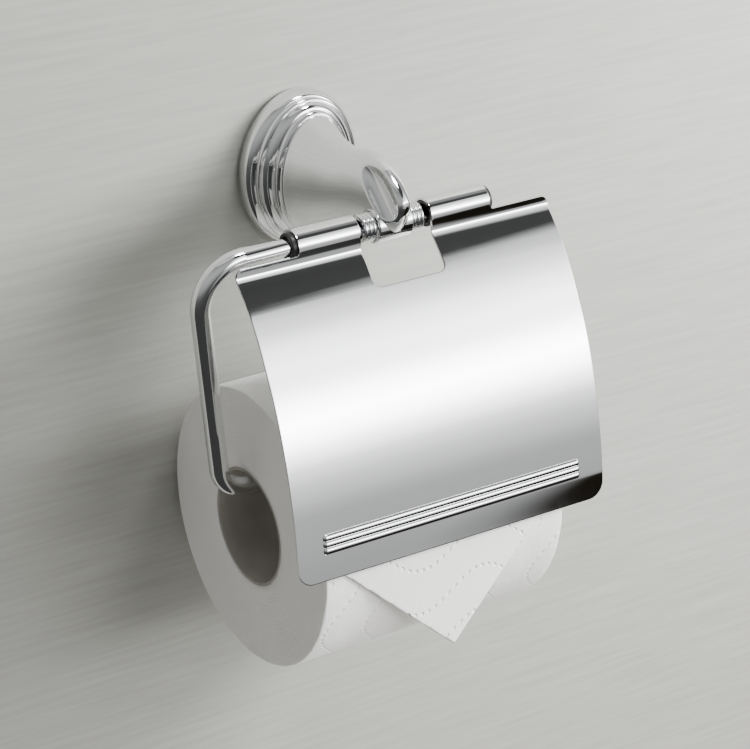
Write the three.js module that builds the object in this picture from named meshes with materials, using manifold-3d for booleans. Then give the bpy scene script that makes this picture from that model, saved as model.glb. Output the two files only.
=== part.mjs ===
// Wall-mounted toilet paper holder with a hinged cover plate, in millimetres.
// X runs along the rod, +Y goes into the wall, +Z is up. The origin is the centre of the
// mounting face, so the wall is the plane y = 0 and the holder stands in front of it (y < 0).
import * as THREE from "three";
import { mergeVertices } from "three/addons/utils/BufferGeometryUtils.js";
import Module from "manifold-3d";

const wasm = await Module();
wasm.setup();

// ---- Driving dimensions ---------------------------------------------------------------
const FLANGE_W = 47.6; // oval wall flange, overall width
const FLANGE_H = 58.6; // and height
const FLANGE_DEPTH = 14.1; // wall to the foot of the cone
const REACH = 60.4; // wall to the rod's axis
const ROD_DROP = 1.0; // rod's axis below the flange's centre
const BARREL_L = 14.0; // cross barrel at the end of the arm
const BARREL_WALL = 1.5;
const BUSH_WALL = 1.0; // nylon bushes inside it
const ROD_D = 7.0; // bent rod of the hanger
const ROD_RIGHT = 39.6; // upper run's end, right of the centre
const ROD_CORNER = 76.7; // where the upper run's axis meets the side run's, left of the centre
const SIDE_LEAN = 8.7; // degrees the side run leans in
const TOP_BEND = 16.0; // bend radii of the rod's axis
const LOW_BEND = 12.0;
const HANG = 91.3; // upper run to lower run, along the hanger's own plane
const HANG_BACK = 4.7; // degrees the hanger swings back to the wall at rest
const LOW_END = 50.0; // free end of the lower run, right of the centre
const COVER_W = 128.0; // cover plate, along the rod
const COVER_T = 0.9;
const COVER_DROP = 103.9; // rod's axis down to its lower edge
const COVER_RADIUS = 6.0; // corner rounding
const KNUCKLE_IN = 14.7; // each rolled knuckle starts and ends this far from the centre
const KNUCKLE_OUT = 39.2;
const KNUCKLE_WRAP = 240; // degrees of the roll, from the front over the top
const WING_DROP = 1.6; // rod's axis down to the plate's upper edge beside the knuckles
const NOTCH_DROP = 15.8; // and down to the foot of the window between the knuckles
const NOTCH_RADIUS = 3.0;
const RIB_PITCH = 2.3; // three raised ribs near the lower edge
const RIB_HALF = 53.5;
const RIB_RISE = 13.3; // middle rib above the lower edge
const LINER_WALL = 1.15; // black liner between knuckle and rod
const LINER_OUT = 1.8; // how far it stands out of the knuckle's outer end
const COLLAR_WALL = 1.7; // ribbed collars beside the barrel
const COLLAR_L = 5.0;
const ROLL_L = 100.0; // paper roll
const ROLL_OD = 103.0;
const ROLL_LEFT = -52.0; // its left end
const CORE_OD = 43.8;
const CORE_WALL = 1.2;
const LEAF_T = 0.5; // loose folded leaf at the front of the roll
const LEAF_TIP = -147.5; // height of its folded point
const LEAF_TIP_X = 1.6; // and its place along the roll
const LEAF_SLOPE_LEFT = 0.9; // rise of the folded edges, per unit along the roll
const LEAF_SLOPE_RIGHT = 1.2;
const LEAF_ARC = 50; // degrees of the roll that the leaf still lies on
const PLATE_T = 2.0; // bracket screwed to the wall, inside the flange
const SCREW_D = 4.0; // wall screws and their plugs
const SCREW_L = 34.0;
const SCREW_PITCH = 26.0;
const PLUG_D = 6.0;
const PLUG_L = 30.0; // how deep the plug reaches into the wall
const PLUG_SINK = 2.2; // how far its mouth lies under the wall's surface
const GRUB_D = 3.4; // set screw under the flange
const POCKET_DEPTH = 9.0; // hollow back of the flange
const POCKET_WALL = 5.4;

// ---- Named clearances -----------------------------------------------------------------
const RUN_GAP = 0.15; // radial, where a piece turns on the rod
const SEAT_GAP = 0.05; // where two pieces are fixed to each other
const PART_GAP = 0.3; // side by side on the rod
const CORE_GAP = 0.3; // lower run to the inside of the core
const LEAF_GAP = 0.1; // leaf to the roll
const KNUCKLE_GAP = 0.1; // radial, liner to the inside of its knuckle

// ---- Finishes -------------------------------------------------------------------------
const finish = (color, roughness, metalness) =>
  new THREE.MeshStandardMaterial({ color, roughness, metalness });
const chrome = finish(0xd9dce0, 0.06, 1);
const zincSteel = finish(0xa9adb2, 0.35, 1);
const blackNylon = finish(0x17181a, 0.45, 0);
const whiteNylon = finish(0xdcdcd6, 0.5, 0);
const greyNylon = finish(0x8d9196, 0.6, 0);
const paper = finish(0xf2f0ec, 0.95, 0);
const cardboard = finish(0xb9ada0, 0.9, 0);

// ---- Shape helpers --------------------------------------------------------------------
const rad = THREE.MathUtils.degToRad;
const rodZ = -ROD_DROP;
const rodR = ROD_D / 2;
const barrelBore = ROD_D + 2 * (RUN_GAP + BUSH_WALL + SEAT_GAP);
const barrelOD = barrelBore + 2 * BARREL_WALL;
const knuckleBore = ROD_D + 2 * (RUN_GAP + LINER_WALL + KNUCKLE_GAP);
const coverBottom = rodZ - COVER_DROP;
const wingTop = rodZ - WING_DROP;
const notchBottom = rodZ - NOTCH_DROP;
const X = new THREE.Vector3(1, 0, 0);
const v3 = (x, y, z) => new THREE.Vector3(x, y, z);

// A closed three.js geometry as a solid, with its faces turned outwards.
function solid(geometry) {
  const g = geometry.clone();
  g.deleteAttribute("normal");
  g.deleteAttribute("uv");
  const merged = mergeVertices(g, 1e-4);
  const p = merged.attributes.position.array;
  const idx = merged.index.array;
  const tri = [];
  for (let i = 0; i < idx.length; i += 3) {
    const [a, b, c] = [idx[i], idx[i + 1], idx[i + 2]];
    if (a !== b && b !== c && c !== a) tri.push(a, b, c);
  }
  const make = (t) =>
    new wasm.Manifold(
      new wasm.Mesh({ numProp: 3, vertProperties: p, triVerts: new Uint32Array(t) }),
    );
  const made = make(tri);
  if (made.volume() > 0) return made;
  for (let i = 0; i < tri.length; i += 3) [tri[i + 1], tri[i + 2]] = [tri[i + 2], tri[i + 1]];
  return make(tri);
}

function geometryOf(body) {
  const m = body.getMesh();
  const g = new THREE.BufferGeometry();
  g.setAttribute("position", new THREE.Float32BufferAttribute(m.vertProperties, 3));
  g.setIndex(new THREE.Uint32BufferAttribute(m.triVerts, 1));
  g.computeVertexNormals();
  return g;
}

// A lathe of unit radius whose rings are laid on the given sections: each section has a
// centre and two radius vectors, so a round, oval or bent body comes from one lathe.
function skin(sections, segments) {
  const n = sections.length;
  const outline = [new THREE.Vector2(0, 0)];
  for (let i = 0; i < n; i++) outline.push(new THREE.Vector2(1, i));
  outline.push(new THREE.Vector2(0, n - 1));
  const g = new THREE.LatheGeometry(outline, segments);
  const p = g.attributes.position;
  for (let i = 0; i < p.count; i++) {
    const s = sections[Math.round(p.getY(i))];
    const at = s.c
      .clone()
      .addScaledVector(s.u, p.getX(i))
      .addScaledVector(s.v, p.getZ(i));
    p.setXYZ(i, at.x, at.y, at.z);
  }
  return solid(g);
}

// A round turned body on an axis along X, Y or Z: the profile lists [radius, place].
function turned(profile, axis, segments = 32) {
  const g = new THREE.LatheGeometry(
    profile.map(([r, h]) => new THREE.Vector2(r, h)),
    segments,
  );
  if (axis === "x") g.rotateZ(-Math.PI / 2);
  if (axis === "z") g.rotateX(Math.PI / 2);
  return g;
}

// A tube on an axis along X, from x0 to x1, with its centre line at (y, z).
function tubeX(rIn, rOut, x0, x1, y, z, segments = 40, edge = 0.25) {
  const g = turned(
    [
      [rIn, x0],
      [rOut - edge, x0],
      [rOut, x0 + edge],
      [rOut, x1 - edge],
      [rOut - edge, x1],
      [rIn, x1],
      [rIn, x0],
    ],
    "x",
    segments,
  );
  return solid(g.translate(0, y, z));
}

// A flat outline in the plane across X (points are [y, z]), extruded from x0 to x1.
function acrossX(points, x0, x1) {
  const shape = new THREE.Shape(points.map(([y, z]) => new THREE.Vector2(y, z)));
  const g = new THREE.ExtrudeGeometry(shape, { depth: x1 - x0, bevelEnabled: false });
  g.applyMatrix4(new THREE.Matrix4().set(0, 0, 1, x0, 1, 0, 0, 0, 0, 1, 0, 0, 0, 0, 0, 1));
  return solid(g);
}

// A flat outline seen from the front (a shape in x and z), extruded from y0 to y1.
function acrossY(shape, y0, y1) {
  const g = new THREE.ExtrudeGeometry(shape, {
    depth: y1 - y0,
    bevelEnabled: false,
    curveSegments: 8,
  });
  g.rotateX(Math.PI / 2);
  return solid(g.translate(0, y1, 0));
}

function mesh(name, body, material) {
  const m = new THREE.Mesh(body.isBufferGeometry ? body : geometryOf(body), material);
  m.name = name;
  return m;
}

// ---- Post: flange, cone, arm and barrel in one casting --------------------------------
// Oval sections from the wall outwards: [distance from wall, half width, top, bottom].
const a0 = FLANGE_W / 2;
const b0 = FLANGE_H / 2;
const FLANGE_RINGS = [
  [0, -0.5, -0.5],
  [0.7, 0, 0],
  [3.2, 0, 0],
  [4.8, -0.6, -0.4],
  [5.9, -1.6, -0.8],
  [6.6, -2.7, -1.3],
  [6.9, -3.3, -1.8],
  [7.5, -3.3, -1.8],
  [7.9, -3.0, -1.6],
  [8.6, -3.3, -1.9],
  [9.0, -4.2, -2.4],
  [9.2, -4.9, -2.9],
  [10.4, -5.9, -3.6],
  [11.2, -7.3, -4.4],
  [11.5, -8.4, -5.3],
  [12.1, -8.4, -5.3],
  [12.5, -8.1, -5.1],
  [13.1, -8.4, -5.4],
  [13.6, -9.2, -6.0],
  [FLANGE_DEPTH, -10.1, -6.7],
];
// The cone and arm, as shares of the way from the flange to the rod's axis.
const ARM = [
  [0.07, 12.7, 21.6, -21.4],
  [0.16, 11.5, 20.3, -18.8],
  [0.27, 10.4, 19.2, -16.0],
  [0.39, 9.5, 18.7, -13.4],
  [0.51, 8.7, 18.9, -11.2],
  [0.62, 8.0, 20.2, -9.4],
  [0.71, 7.5, 21.3, -8.3],
  [0.8, 7.1, 21.7, -7.5],
  [0.89, 6.9, 21.2, -6.9],
  [0.98, 6.9, 19.8, -6.3],
  [1.06, 6.6, 17.8, -5.0],
  [1.12, 5.8, 15.9, -3.0],
  [1.17, 4.4, 13.9, 0.2],
  [1.205, 3.3, 12.2, 3.2],
  [1.23, 2.2, 10.6, 5.4],
  [1.24, 1.0, 9.2, 7.0],
];
// Scoop on each side of the arm: place of its middle, half sizes, and its lean downwards.
const SCOOP_Y = 59.5;
const SCOOP_Z = 13.7;
const SCOOP_SIZE = [6.3, 11.5, 4.2];
const SCOOP_LEAN = 42;
const SPINE_HALF = 2.5; // half width of the spine that the scoops leave

function postCasting() {
  const oval = (d, a, top, bottom) => ({
    c: v3(0, -d, (top + bottom) / 2),
    u: v3(a, 0, 0),
    v: v3(0, 0, (top - bottom) / 2),
  });
  const sections = FLANGE_RINGS.map(([d, da, db]) => oval(d, a0 + da, b0 + db, -b0 - db));
  const span = REACH - FLANGE_DEPTH;
  for (const [t, a, top, bottom] of ARM)
    sections.push(oval(FLANGE_DEPTH + t * span, a, top, bottom));
  let body = skin(sections, 48);

  // Leaf-shaped scoops on both sides of the arm leave a narrow spine between them. Each
  // is open to the front and to the top.
  const ahead = v3(0, -Math.cos(rad(SCOOP_LEAN)), -Math.sin(rad(SCOOP_LEAN)));
  const above = v3(0, -Math.sin(rad(SCOOP_LEAN)), Math.cos(rad(SCOOP_LEAN)));
  for (const side of [-1, 1]) {
    const middle = v3(side * (SPINE_HALF + SCOOP_SIZE[0]), -SCOOP_Y, SCOOP_Z);
    const places = [[0, 0], [16, 0], [0, 10], [16, 10]].map(([forward, up]) => {
      const g = new THREE.SphereGeometry(1, 24, 16);
      g.scale(...SCOOP_SIZE).rotateX(rad(SCOOP_LEAN));
      const at = middle.clone().addScaledVector(ahead, forward).addScaledVector(above, up);
      return solid(g.translate(at.x, at.y, at.z));
    });
    body = body.subtract(wasm.Manifold.hull(places));
  }
  const half = BARREL_L / 2;
  body = body.add(tubeX(1, barrelOD / 2, -half, half, -REACH, rodZ, 48, 0.6));
  body = body.subtract(
    solid(turned([[0, -half - 1], [barrelBore / 2, -half - 1], [barrelBore / 2, half + 1],
      [0, half + 1]], "x", 40).translate(0, -REACH, rodZ)),
  );

  // Hollow back that takes the wall bracket, and the set screw's hole from below.
  const pa = a0 - POCKET_WALL;
  const pb = b0 - POCKET_WALL;
  const pocket = [
    oval(-1, pa, pb, -pb),
    oval(POCKET_DEPTH - 3, pa - 1, pb - 1, 1 - pb),
    oval(POCKET_DEPTH, pa - 3, pb - 3, 3 - pb),
  ];
  body = body.subtract(skin(pocket, 48));
  const hole = turned([[0, -b0 - 2], [GRUB_D / 2 + SEAT_GAP, -b0 - 2],
    [GRUB_D / 2 + SEAT_GAP, -b0 + 8], [0, -b0 + 8]], "z", 20);
  body = body.subtract(solid(hole.translate(0, GRUB_Y, 0)));
  return mesh("post_casting", body, chrome);
}

// ---- Wall fixings behind and inside the flange ----------------------------------------
const GRUB_Y = -4.2;
const LUG_Z = -(FLANGE_H / 2 - POCKET_WALL) + 2.6; // underside of the bracket's lug

function wallBracket() {
  const shape = new THREE.Shape();
  const pa = a0 - POCKET_WALL - 2.0;
  const pb = -LUG_Z;
  shape.absellipse(0, 0, pa, pb, 0, 2 * Math.PI, false);
  for (const z of [1, -1]) {
    const hole = new THREE.Path();
    hole.absarc(0, (z * SCREW_PITCH) / 2, SCREW_D / 2 + 0.3, 0, 2 * Math.PI, true);
    shape.holes.push(hole);
  }
  let body = acrossY(shape, -PLATE_T, 0);
  // The lower rim is turned forward as the lug that the set screw bears on.
  const lug = new THREE.BoxGeometry(8, 5.2, 1.8);
  lug.translate(0, -PLATE_T + 0.3 - 2.6, LUG_Z + 0.9 + 0.15);
  body = body.add(solid(lug));
  return mesh("wall_bracket", body, zincSteel);
}

function wallScrew(name, z) {
  const r = SCREW_D / 2;
  const face = -PLATE_T - SEAT_GAP; // underside of the head
  const g = turned(
    [
      [0, face - 2.4],
      [1.8, face - 2.4],
      [3.2, face - 1.9],
      [3.8, face - 1.0],
      [3.8, face],
      [r, face],
      [r, SCREW_L - 6],
      [0.4, SCREW_L - PLATE_T - 2.4],
      [0, SCREW_L - PLATE_T - 2.4],
    ],
    "y",
    24,
  );
  let body = solid(g.translate(0, 0, z));
  for (const turn of [0, 1]) {
    const slot = new THREE.BoxGeometry(turn ? 0.9 : 3.6, 2.4, turn ? 3.6 : 0.9);
    body = body.subtract(solid(slot.translate(0, face - 2.4, z)));
  }
  return mesh(name, body, zincSteel);
}

function wallPlug(name, z) {
  const bore = SCREW_D / 2 + RUN_GAP;
  const g = turned(
    [
      [bore, PLUG_SINK],
      [PLUG_D / 2, PLUG_SINK],
      [PLUG_D / 2, PLUG_L * 0.35],
      [PLUG_D / 2 - 0.3, PLUG_L * 0.38],
      [PLUG_D / 2, PLUG_L * 0.5],
      [PLUG_D / 2 - 0.3, PLUG_L * 0.53],
      [PLUG_D / 2, PLUG_L * 0.65],
      [PLUG_D / 2 - 0.3, PLUG_L * 0.68],
      [PLUG_D / 2, PLUG_L * 0.8],
      [bore + 0.3, PLUG_L],
      [bore, PLUG_L],
      [bore, PLUG_SINK],
    ],
    "y",
    20,
  );
  return mesh(name, solid(g.translate(0, 0, z)), greyNylon);
}

function grubScrew() {
  const r = GRUB_D / 2;
  const top = LUG_Z - SEAT_GAP;
  const bottom = -b0 + 0.5;
  let body = solid(
    turned([[0, bottom], [r - 0.3, bottom], [r, bottom + 0.3], [r, top - 0.8], [0.8, top],
      [0, top]], "z", 20).translate(0, GRUB_Y, 0),
  );
  const hex = new THREE.CylinderGeometry(0.9, 0.9, 3, 6).rotateX(Math.PI / 2);
  body = body.subtract(solid(hex.translate(0, GRUB_Y, bottom)));
  return mesh("grub_screw", body, zincSteel);
}

// ---- Pieces on the upper run ----------------------------------------------------------
function barrelBush(name, side) {
  const rIn = rodR + RUN_GAP;
  const rOut = barrelBore / 2 - SEAT_GAP;
  const [x0, x1] = side < 0 ? [-BARREL_L / 2, -0.2] : [0.2, BARREL_L / 2];
  return mesh(name, tubeX(rIn, rOut, x0, x1, -REACH, rodZ, 24, 0.2), whiteNylon);
}

// A collar with three turned ribs; it is fixed on the rod and keeps the barrel in place.
function collar(name, side) {
  const rIn = rodR + SEAT_GAP;
  const r = rodR + COLLAR_WALL;
  const x0 = BARREL_L / 2 + PART_GAP;
  const step = COLLAR_L / 3;
  const profile = [[rIn, x0]];
  for (let i = 0; i < 3; i++) {
    const at = x0 + i * step;
    profile.push([r - 0.9, at], [r - 0.15, at + step * 0.2], [r, at + step * 0.5],
      [r - 0.15, at + step * 0.8]);
  }
  profile.push([r - 0.9, x0 + COLLAR_L], [rIn, x0 + COLLAR_L], [rIn, x0]);
  const g = turned(profile.map(([q, x]) => [q, side * x]), "x", 28);
  return mesh(name, solid(g.translate(0, -REACH, rodZ)), chrome);
}

function hingeLiner(name, side) {
  const rOut = rodR + RUN_GAP + LINER_WALL;
  const [x0, x1] = [KNUCKLE_IN + 0.2, KNUCKLE_OUT + LINER_OUT];
  const [from, to] = side < 0 ? [-x1, -x0] : [x0, x1];
  return mesh(name, tubeX(rodR + RUN_GAP, rOut, from, to, -REACH, rodZ, 28, 0.2), blackNylon);
}

// ---- Bent rod of the hanger -----------------------------------------------------------
// Its centre line lies in the hanger's plane: s runs along X, t down from the upper run.
const back = rad(HANG_BACK);
const hang = (s, t) => v3(s, -REACH + t * Math.sin(back), rodZ - t * Math.cos(back));
const lower = hang(0, HANG); // a point of the lower run's axis

function hangerRod() {
  const lean = rad(SIDE_LEAN);
  const path = []; // [s, t, direction angle from -X towards down]
  const line = (s, t, dir) => path.push([s, t, dir]);
  const bend = (s, t, dir, turn, r) => {
    const steps = 9;
    for (let i = 0; i <= steps; i++) {
      const q = dir + (turn * i) / steps;
      line(
        s - r * (Math.sin(q) - Math.sin(dir)),
        t + r * (Math.cos(dir) - Math.cos(q)),
        q,
      );
    }
  };
  const turn1 = Math.PI / 2 + lean;
  const turn2 = Math.PI / 2 - lean;
  const leg1 = TOP_BEND * Math.tan(turn1 / 2);
  const leg2 = LOW_BEND * Math.tan(turn2 / 2);
  const cornerS = -ROD_CORNER + HANG * Math.tan(lean);
  const cut = 0.6; // rounding of the rod's ends
  line(ROD_RIGHT, 0, 0);
  line(ROD_RIGHT - cut, 0, 0);
  bend(-ROD_CORNER + leg1, 0, 0, turn1, TOP_BEND);
  bend(cornerS - leg2 * Math.sin(lean), HANG - leg2 * Math.cos(lean), turn1, turn2, LOW_BEND);
  line(LOW_END - 1.5, HANG, Math.PI);
  line(LOW_END - 0.4, HANG, Math.PI);
  line(LOW_END, HANG, Math.PI);
  const across = v3(0, -Math.cos(back), -Math.sin(back));
  const last = path.length - 1;
  const sections = path.map(([s, t, q], i) => {
    let r = rodR;
    if (i === 0) r = rodR - cut;
    if (i === last) r = rodR * 0.55;
    if (i === last - 1) r = rodR * 0.86;
    const n = hang(Math.sin(q) * -1, -Math.cos(q)).sub(hang(0, 0));
    return { c: hang(s, t), u: across.clone().multiplyScalar(r), v: n.multiplyScalar(r) };
  });
  return mesh("hanger_rod", skin(sections, 20), chrome);
}

// ---- Cover plate ----------------------------------------------------------------------
// Middle line of the plate seen from the side, from the knuckle down: [y, z] from the rod's
// axis.
const KNUCKLE_MID = knuckleBore / 2 + COVER_T / 2;
const START = rad(180); // where the plate leaves the knuckle, from +Y towards up
const COVER_LINE = [
  [-KNUCKLE_MID, 0],
  [-KNUCKLE_MID + 0.05, -3.2],
  [-KNUCKLE_MID - 0.25, -5.0],
  [-7.1, -6.8],
  [-9.8, -10.0],
  [-12.9, -13.3],
  [-15.9, -17.0],
  [-20.6, -24.0],
  [-25.6, -33.0],
  [-30.3, -42.3],
  [-34.4, -52.3],
  [-37.9, -62.8],
  [-41.0, -74.5],
  [-43.1, -84.5],
  [-44.6, -94.5],
  [-45.4, -COVER_DROP],
];

function coverLine() {
  const curve = new THREE.SplineCurve(
    COVER_LINE.map(([y, z]) => new THREE.Vector2(y - REACH, z + rodZ)),
  );
  const n = 45;
  const out = [];
  for (let i = 0; i <= n; i++) {
    const p = curve.getPoint(i / n);
    const t = curve.getTangent(i / n);
    out.push({ p, n: new THREE.Vector2(t.y, -t.x) }); // n points out of the front face
  }
  return out;
}

function coverOutline() {
  const w = COVER_W / 2;
  const r = COVER_RADIUS;
  const s = new THREE.Shape();
  const k = KNUCKLE_OUT;
  const q = NOTCH_RADIUS;
  const low = coverBottom;
  const round = (x, z, x2, z2) => s.quadraticCurveTo(x, z, x2, z2);
  s.moveTo(-w + r, low);
  s.lineTo(w - r, low);
  round(w, low, w, low + r);
  s.lineTo(w, wingTop - 3);
  round(w, wingTop, w - 3, wingTop);
  s.lineTo(k + 1.4, wingTop);
  round(k, wingTop, k, wingTop + 1.4);
  s.lineTo(k, 12);
  s.lineTo(KNUCKLE_IN, 12);
  s.lineTo(KNUCKLE_IN, notchBottom + q);
  round(KNUCKLE_IN, notchBottom, KNUCKLE_IN - q, notchBottom);
  s.lineTo(-KNUCKLE_IN + q, notchBottom);
  round(-KNUCKLE_IN, notchBottom, -KNUCKLE_IN, notchBottom + q);
  s.lineTo(-KNUCKLE_IN, 12);
  s.lineTo(-k, 12);
  s.lineTo(-k, wingTop + 1.4);
  round(-k, wingTop, -k - 1.4, wingTop);
  s.lineTo(-w + 3, wingTop);
  round(-w, wingTop, -w, wingTop - 3);
  s.lineTo(-w, low + r);
  round(-w, low, -w + r, low);
  return s;
}

function coverPlate() {
  const line = coverLine();
  const t = COVER_T / 2;
  const front = line.map(({ p, n }) => [p.x + n.x * t, p.y + n.y * t]);
  const rear = line.map(({ p, n }) => [p.x - n.x * t, p.y - n.y * t]);
  const sheet = acrossX([...front, ...rear.reverse()], -COVER_W / 2, COVER_W / 2);
  let body = sheet.intersect(acrossY(coverOutline(), -130, -20));

  // Knuckles: the plate rolled over the rod, from the front over the top to the back.
  const arc = (r) => {
    const out = [];
    const steps = 20;
    for (let i = 0; i <= steps; i++) {
      const q = START + rad(4) - (rad(KNUCKLE_WRAP + 4) * i) / steps;
      out.push([-REACH + r * Math.cos(q), rodZ + r * Math.sin(q)]);
    }
    return out;
  };
  const roll = [...arc(KNUCKLE_MID + t), ...arc(KNUCKLE_MID - t).reverse()];
  body = body.add(acrossX(roll, KNUCKLE_IN, KNUCKLE_OUT));
  body = body.add(acrossX(roll, -KNUCKLE_OUT, -KNUCKLE_IN));

  // Three half-round ribs raised from the front face.
  for (const i of [-1, 0, 1]) {
    const z = coverBottom + RIB_RISE + i * RIB_PITCH;
    const at = line.reduce((a, b) => (Math.abs(a.p.y - z) < Math.abs(b.p.y - z) ? a : b));
    const k = (z - at.p.y) / at.n.x; // slide along the face to the rib's own height
    const y = at.p.x + at.n.x * t + at.n.y * k * -1;
    const g = new THREE.CapsuleGeometry(RIB_PITCH * 0.46, 2 * RIB_HALF - RIB_PITCH, 4, 12);
    g.rotateZ(Math.PI / 2);
    g.translate(0, y + 0.1, z);
    body = body.add(solid(g));
  }
  return mesh("cover_plate", body, chrome);
}

// ---- Paper roll -----------------------------------------------------------------------
const coreIn = CORE_OD / 2 - CORE_WALL;
const ROLL_Y = lower.y;
const ROLL_Z = lower.z + rodR + CORE_GAP - coreIn; // the core hangs on the lower run
const ROLL_RIGHT = ROLL_LEFT + ROLL_L;

function coreTube() {
  const body = tubeX(coreIn, CORE_OD / 2 - SEAT_GAP, ROLL_LEFT, ROLL_RIGHT, ROLL_Y, ROLL_Z,
    48, 0.1);
  return mesh("core_tube", body, cardboard);
}

function paperRoll() {
  const body = tubeX(CORE_OD / 2, ROLL_OD / 2, ROLL_LEFT, ROLL_RIGHT, ROLL_Y, ROLL_Z, 72, 0.6);
  return mesh("paper_roll", body, paper);
}

function looseLeaf() {
  const r = ROLL_OD / 2 + LEAF_GAP;
  const side = (q) => {
    const out = [];
    for (let i = 0; i <= 10; i++) {
      const a = Math.PI - rad(LEAF_ARC) * (1 - i / 10);
      out.push([ROLL_Y + (r + q) * Math.cos(a), ROLL_Z + (r + q) * Math.sin(a)]);
    }
    out.push([ROLL_Y - r - q, LEAF_TIP - 5]);
    return out;
  };
  const strip = acrossX([...side(LEAF_T), ...side(0).reverse()], ROLL_LEFT, ROLL_RIGHT);
  const [left, right] = [ROLL_LEFT + 0.5, ROLL_RIGHT - 0.5];
  const s = new THREE.Shape([
    new THREE.Vector2(LEAF_TIP_X, LEAF_TIP),
    new THREE.Vector2(right, LEAF_TIP + (right - LEAF_TIP_X) * LEAF_SLOPE_RIGHT),
    new THREE.Vector2(right, ROLL_Z + r),
    new THREE.Vector2(left, ROLL_Z + r),
    new THREE.Vector2(left, LEAF_TIP + (LEAF_TIP_X - left) * LEAF_SLOPE_LEFT),
  ]);
  return mesh("loose_leaf", strip.intersect(acrossY(s, -130, -20)), paper);
}

// ---- Assembly -------------------------------------------------------------------------
const holder = new THREE.Group();
holder.name = "toilet_paper_holder";

const wallSide = new THREE.Group();
wallSide.add(
  postCasting(),
  wallBracket(),
  wallScrew("wall_screw_upper", SCREW_PITCH / 2),
  wallScrew("wall_screw_lower", -SCREW_PITCH / 2),
  wallPlug("wall_plug_upper", SCREW_PITCH / 2),
  wallPlug("wall_plug_lower", -SCREW_PITCH / 2),
  grubScrew(),
  barrelBush("barrel_bush_left", -1),
  barrelBush("barrel_bush_right", 1),
);

const hanger = new THREE.Group();
hanger.add(hangerRod(), collar("collar_left", -1), collar("collar_right", 1));

const cover = new THREE.Group();
cover.add(coverPlate(), hingeLiner("hinge_liner_left", -1), hingeLiner("hinge_liner_right", 1));

const roll = new THREE.Group();
roll.add(coreTube(), paperRoll(), looseLeaf());

holder.add(wallSide, hanger, cover, roll);

export default holder;
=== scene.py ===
import math
import bmesh
import bpy
import numpy as np
from mathutils import Matrix, Vector
from mathutils.geometry import delaunay_2d_cdt


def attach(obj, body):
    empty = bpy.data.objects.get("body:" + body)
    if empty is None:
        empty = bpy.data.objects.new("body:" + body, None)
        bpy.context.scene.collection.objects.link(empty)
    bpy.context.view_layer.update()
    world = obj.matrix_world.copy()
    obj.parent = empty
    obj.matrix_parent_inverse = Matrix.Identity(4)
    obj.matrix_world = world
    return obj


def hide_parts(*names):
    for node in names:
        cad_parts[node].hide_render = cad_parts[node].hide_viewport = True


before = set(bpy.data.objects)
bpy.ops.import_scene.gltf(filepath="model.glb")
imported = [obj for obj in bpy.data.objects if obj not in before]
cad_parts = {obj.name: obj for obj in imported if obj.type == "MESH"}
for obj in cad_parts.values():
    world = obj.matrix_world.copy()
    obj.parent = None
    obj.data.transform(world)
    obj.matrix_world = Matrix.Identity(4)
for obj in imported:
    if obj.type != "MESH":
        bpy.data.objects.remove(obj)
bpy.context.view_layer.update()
MM = 0.001

# ---------------------------------------------------------------- camera
# The camera stands to the left of the holder and above it, about a metre away, with a
# portrait lens, and looks down at the roll.
look_azimuth, look_elevation, look_roll = map(math.radians, (-33.54, 25.85, 0.784))
look_at = Vector((15.9, -30.0, -75.9)) * MM
look_distance = 1.1096
to_camera = Vector((math.sin(look_azimuth) * math.cos(look_elevation),
                    -math.cos(look_azimuth) * math.cos(look_elevation),
                    math.sin(look_elevation)))
level = (-to_camera).cross(Vector((0, 0, 1))).normalized()
upright = level.cross(-to_camera)
cam_x = level * math.cos(look_roll) + upright * math.sin(look_roll)
cam_y = upright * math.cos(look_roll) - level * math.sin(look_roll)
eye = look_at + to_camera * look_distance
camera_data = bpy.data.cameras.new("camera")
camera_data.sensor_width = 36.0
camera_data.lens = 145.76
camera_data.clip_start = 0.01
camera = bpy.data.objects.new("camera", camera_data)
camera.matrix_world = Matrix.Translation(eye) @ Matrix((cam_x, cam_y, to_camera)).transposed().to_4x4()
bpy.context.collection.objects.link(camera)
bpy.context.scene.camera = camera

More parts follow.
